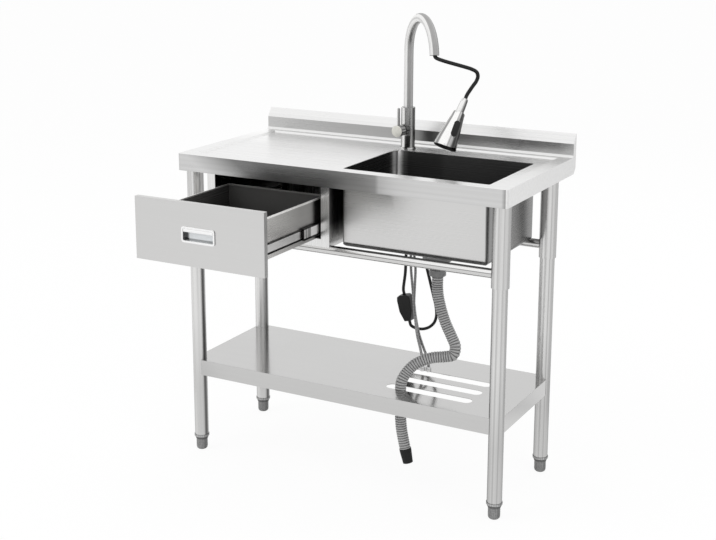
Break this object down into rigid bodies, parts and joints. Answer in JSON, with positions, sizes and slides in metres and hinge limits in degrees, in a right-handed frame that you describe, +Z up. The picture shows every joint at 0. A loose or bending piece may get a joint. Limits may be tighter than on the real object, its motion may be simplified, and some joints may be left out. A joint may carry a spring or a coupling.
{
  "type": "kitchen sink unit",
  "caption": "Free-standing stainless sink unit: worktop with splashback, deep basin, side drawer on ball slides, pull-out gooseneck tap, slotted undershelf and screw feet.",
  "frame": {"origin": "on the floor, below the middle of the whole part as pictured, with its drawer open", "axes": "+X to the right as seen from the front, +Y towards the splashback, +Z up"},
  "size_m": [1, 0.812, 1.293],
  "materials": {
    "brushed_steel": "stainless sheet brushed along its length",
    "folded_steel": "folded stainless sheet, plain mill finish",
    "polished_tube": "satin polished stainless tube",
    "zinc_steel": "bright plated steel",
    "braided_hose": "stainless wire braid over rubber",
    "chrome": "polished chrome plate",
    "cap_metal": "warm polished plate",
    "grey_plastic": "moulded, slightly glossy",
    "ribbed_plastic": "corrugated flexible plastic",
    "black_plastic": "moulded, satin",
    "black_rubber": "matt",
    "hose_black": "smooth sleeved rubber"
  },
  "bodies": {
    "frame": {"worktop": "brushed_steel", "basin": "brushed_steel", "drawer_cabinet": "folded_steel", "left_slide_cabinet_member": "zinc_steel", "right_slide_cabinet_member": "zinc_steel", "leg_socket_front_left": "polished_tube", "leg_socket_front_right": "polished_tube", "leg_socket_rear_left": "polished_tube", "leg_socket_rear_right": "polished_tube", "leg_front_left": "polished_tube", "leg_front_right": "polished_tube", "leg_rear_left": "polished_tube", "leg_rear_right": "polished_tube", "foot_insert_front_left": "grey_plastic", "foot_insert_front_right": "grey_plastic", "foot_insert_rear_left": "grey_plastic", "foot_insert_rear_right": "grey_plastic", "front_rail": "polished_tube", "rear_rail": "polished_tube", "undershelf": "brushed_steel", "tap_base_ring": "chrome", "tap_body": "chrome", "tap_shank": "zinc_steel", "shank_washer": "black_rubber", "shank_nut": "zinc_steel", "under_hose": "hose_black", "hose_weight": "black_plastic", "supply_hose_hot": "braided_hose", "supply_hose_cold": "braided_hose", "supply_nut_hot": "zinc_steel", "supply_nut_cold": "zinc_steel", "waste_cup": "grey_plastic", "waste_locknut": "grey_plastic", "coupling_nut": "grey_plastic", "drain_hose": "ribbed_plastic", "hose_cuff": "black_rubber"},
    "drawer": {"drawer_front": "brushed_steel", "drawer_pull": "chrome", "drawer_box": "folded_steel", "left_slide_drawer_member": "zinc_steel", "right_slide_drawer_member": "zinc_steel"},
    "left_slide_middle": {"left_slide_middle_member": "zinc_steel"},
    "right_slide_middle": {"right_slide_middle_member": "zinc_steel"},
    "spout": {"spout": "polished_tube", "outlet_bush": "black_plastic", "inner_hose": "hose_black", "spray_hose": "hose_black", "hose_ferrule": "chrome"},
    "spray_head": {"spray_head": "chrome", "nozzle_face": "black_rubber"},
    "spray_button": {"spray_button": "black_plastic"},
    "lever_stem": {"cartridge_stem": "zinc_steel"},
    "lever": {"lever_hub": "chrome", "lever_rod": "chrome", "hub_cap": "cap_metal"},
    "basket": {"strainer_basket": "chrome"},
    "foot_front_left": {"foot_front_left": "grey_plastic"},
    "foot_front_right": {"foot_front_right": "grey_plastic"},
    "foot_rear_left": {"foot_rear_left": "grey_plastic"},
    "foot_rear_right": {"foot_rear_right": "grey_plastic"}
  },
  "joints": [
    {"name": "drawer_slide", "type": "slide", "parent": "frame", "child": "drawer", "axis": [0, -1, 0], "range_m": [-0.31, 0.04]},
    {"name": "left_middle_slide", "type": "slide", "parent": "frame", "child": "left_slide_middle", "axis": [0, -1, 0], "range_m": [-0.0869, 0.0113]},
    {"name": "right_middle_slide", "type": "slide", "parent": "frame", "child": "right_slide_middle", "axis": [0, -1, 0], "range_m": [-0.0869, 0.0113]},
    {"name": "spout_swivel", "type": "hinge", "parent": "frame", "child": "spout", "pos_m": [0.024, 0.31305, 1], "axis": [0, 0, 1], "range_deg": [-106, 14]},
    {"name": "head_swivel", "type": "hinge", "parent": "spout", "child": "spray_head", "pos_m": [0.2497, 0.20455, 1.0699], "axis": [0.2001, 0.4593, 0.8655], "range_deg": [-170, 170]},
    {"name": "spray_button_press", "type": "slide", "parent": "spray_head", "child": "spray_button", "axis": [-0.7348, 0.587, -0.3399], "range_m": [0, 0.0015], "stiffness_N_per_m": 900},
    {"name": "lever_turn", "type": "hinge", "parent": "frame", "child": "lever_stem", "pos_m": [0.024, 0.31305, 0.9536], "axis": [-0.0976, -0.9952, 0], "range_deg": [-45, 45]},
    {"name": "lever_tilt", "type": "hinge", "parent": "lever_stem", "child": "lever", "pos_m": [0.0198, 0.27026, 0.9536], "axis": [0.9952, -0.0976, 0], "range_deg": [0, 20]},
    {"name": "basket_lift", "type": "slide", "parent": "frame", "child": "basket", "axis": [0, 0, 1], "range_m": [0, 0.08]},
    {"name": "foot_front_left_screw", "type": "slide", "parent": "frame", "child": "foot_front_left", "axis": [0, 0, -1], "range_m": [0, 0.02]},
    {"name": "foot_front_right_screw", "type": "slide", "parent": "frame", "child": "foot_front_right", "axis": [0, 0, -1], "range_m": [0, 0.02]},
    {"name": "foot_rear_left_screw", "type": "slide", "parent": "frame", "child": "foot_rear_left", "axis": [0, 0, -1], "range_m": [0, 0.02]},
    {"name": "foot_rear_right_screw", "type": "slide", "parent": "frame", "child": "foot_rear_right", "axis": [0, 0, -1], "range_m": [0, 0.02]}
  ],
  "couplings": [
    {"joint": "left_middle_slide", "follows": "drawer_slide", "ratio": 0.28},
    {"joint": "right_middle_slide", "follows": "drawer_slide", "ratio": 0.28}
  ]
}
